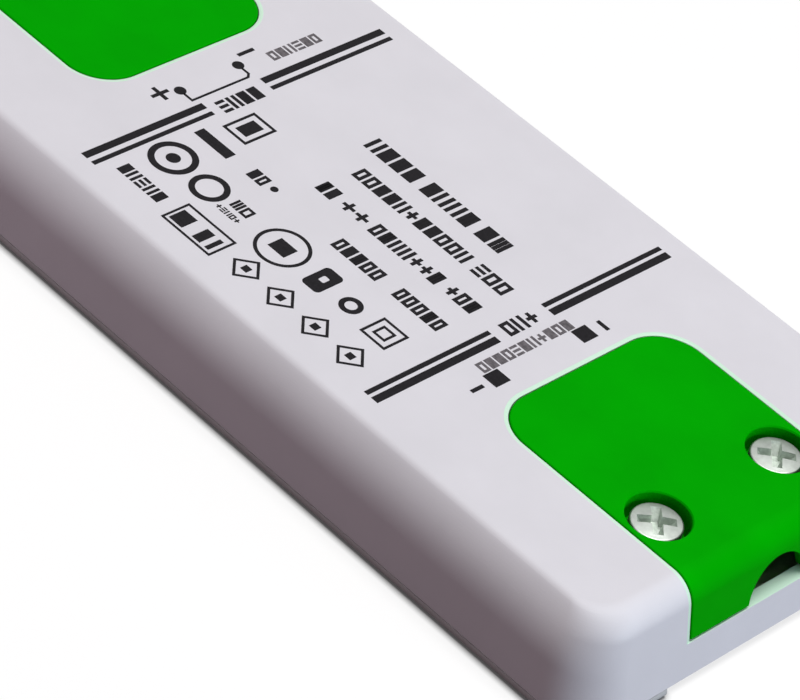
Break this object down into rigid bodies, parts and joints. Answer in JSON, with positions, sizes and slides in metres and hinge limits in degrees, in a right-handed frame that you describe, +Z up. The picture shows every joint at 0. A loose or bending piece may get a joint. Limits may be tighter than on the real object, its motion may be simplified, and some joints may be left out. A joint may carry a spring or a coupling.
{
  "type": "led driver",
  "caption": "Slim white LED driver housing with a green screwed terminal cover at each end, cable openings in its end faces, and its circuit board and terminals inside.",
  "frame": {"origin": "middle of the flat foot of the base plate", "axes": "+X along the length towards the mains end, +Y across the width, +Z up out of the printed top"},
  "size_m": [0.1204, 0.0562, 0.0111],
  "materials": {
    "white_plastic": "moulded flame-retardant plastic, cool white, satin",
    "base_plastic": "moulded plastic, cool white, satin",
    "green_plastic": "moulded plastic, pure green, semi-gloss",
    "zinc_steel": "zinc-plated steel, turned and pressed",
    "board_laminate": "paper-phenolic board with clear coat",
    "terminal_plastic": "moulded polyamide, light grey",
    "clamp_brass": "nickel-free brass, bright",
    "capacitor_sleeve": "shrink sleeve, black, plain",
    "ferrite": "sintered ferrite, dark grey",
    "coated_core": "powder-coated ring core, green",
    "winding_tape": "polyester tape, yellow",
    "enamelled_copper": "enamelled copper wire",
    "glazed_ceramic": "lacquered ceramic body",
    "blue_epoxy": "dipped epoxy, blue",
    "yellow_box": "moulded box, yellow",
    "black_epoxy": "moulded epoxy, black"
  },
  "bodies": {
    "root": {"base_plate": "base_plastic", "bleed_resistor": "glazed_ceramic", "bridge_rectifier": "black_epoxy", "circuit_board": "board_laminate", "clamp_diode": "black_epoxy", "controller_ic": "black_epoxy", "fuse": "glazed_ceramic", "housing_shell": "white_plastic", "input_capacitor_1": "capacitor_sleeve", "input_capacitor_2": "capacitor_sleeve", "line_choke_core": "coated_core", "line_choke_winding_1": "enamelled_copper", "line_choke_winding_2": "enamelled_copper", "mains_cover": "green_plastic", "mains_cover_screw_1": "zinc_steel", "mains_cover_screw_2": "zinc_steel", "mains_terminal_block": "terminal_plastic", "mains_terminal_clamp_1": "clamp_brass", "mains_terminal_clamp_2": "clamp_brass", "mains_terminal_screw_1": "zinc_steel", "mains_terminal_screw_2": "zinc_steel", "optocoupler": "black_epoxy", "output_capacitor_1": "capacitor_sleeve", "output_capacitor_2": "capacitor_sleeve", "output_choke": "ferrite", "output_cover": "green_plastic", "output_cover_screw_1": "zinc_steel", "output_cover_screw_2": "zinc_steel", "output_diode": "black_epoxy", "output_terminal_block": "terminal_plastic", "output_terminal_clamp_1": "clamp_brass", "output_terminal_clamp_2": "clamp_brass", "output_terminal_screw_1": "zinc_steel", "output_terminal_screw_2": "zinc_steel", "start_resistor": "glazed_ceramic", "transformer_bobbin": "black_epoxy", "transformer_core": "ferrite", "transformer_winding": "winding_tape", "varistor": "blue_epoxy", "x_capacitor": "yellow_box", "y_capacitor": "blue_epoxy"}
  },
  "joints": []
}
